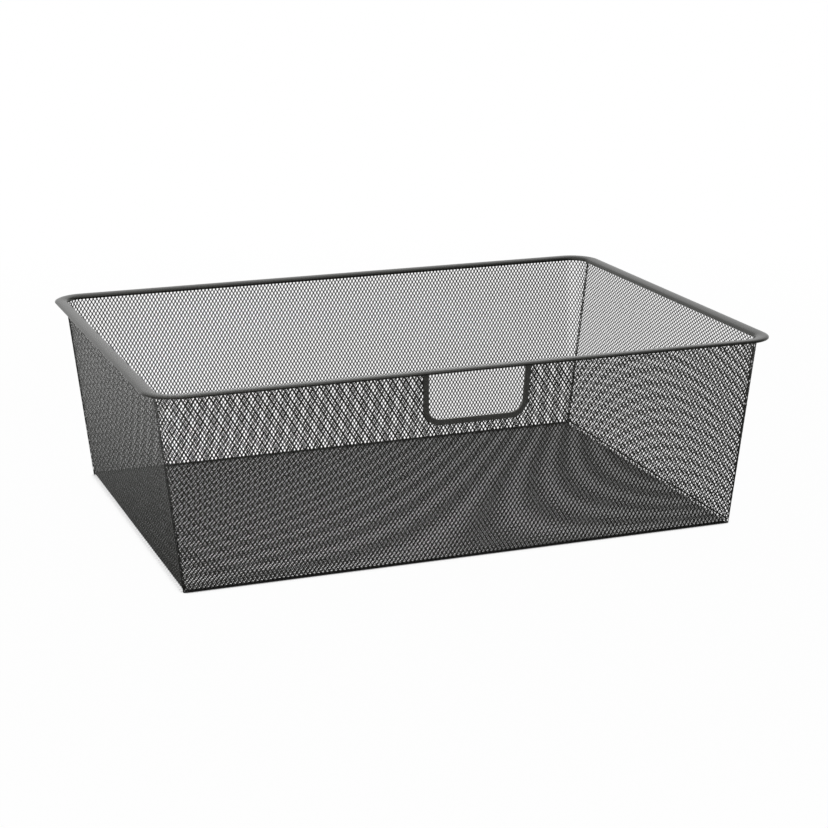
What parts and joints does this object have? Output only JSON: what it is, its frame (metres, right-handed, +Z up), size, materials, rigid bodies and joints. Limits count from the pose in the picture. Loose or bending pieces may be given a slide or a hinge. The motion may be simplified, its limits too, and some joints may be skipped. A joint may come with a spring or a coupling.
{
  "type": "mesh drawer basket",
  "caption": "Wide drawer basket of expanded metal mesh with leaning walls, rounded upper corners, a rolled flanged rim and a trimmed hand cut-out in the front.",
  "frame": {"origin": "middle of the basket on the surface that it stands on", "axes": "+Z up, +X from left to right along the long side, -Y towards the front wall with the hand cut-out"},
  "size_m": [0.605, 0.43, 0.187],
  "materials": {
    "rim_coating": "satin graphite powder coat",
    "trim_coating": "dark graphite powder coat",
    "mesh_coating": "satin graphite powder coat on expanded steel mesh"
  },
  "bodies": {
    "root": {"rim": "rim_coating", "handle_trim": "trim_coating", "front_mesh": "mesh_coating", "back_mesh": "mesh_coating", "left_mesh": "mesh_coating", "right_mesh": "mesh_coating", "floor_mesh": "mesh_coating"}
  },
  "joints": []
}
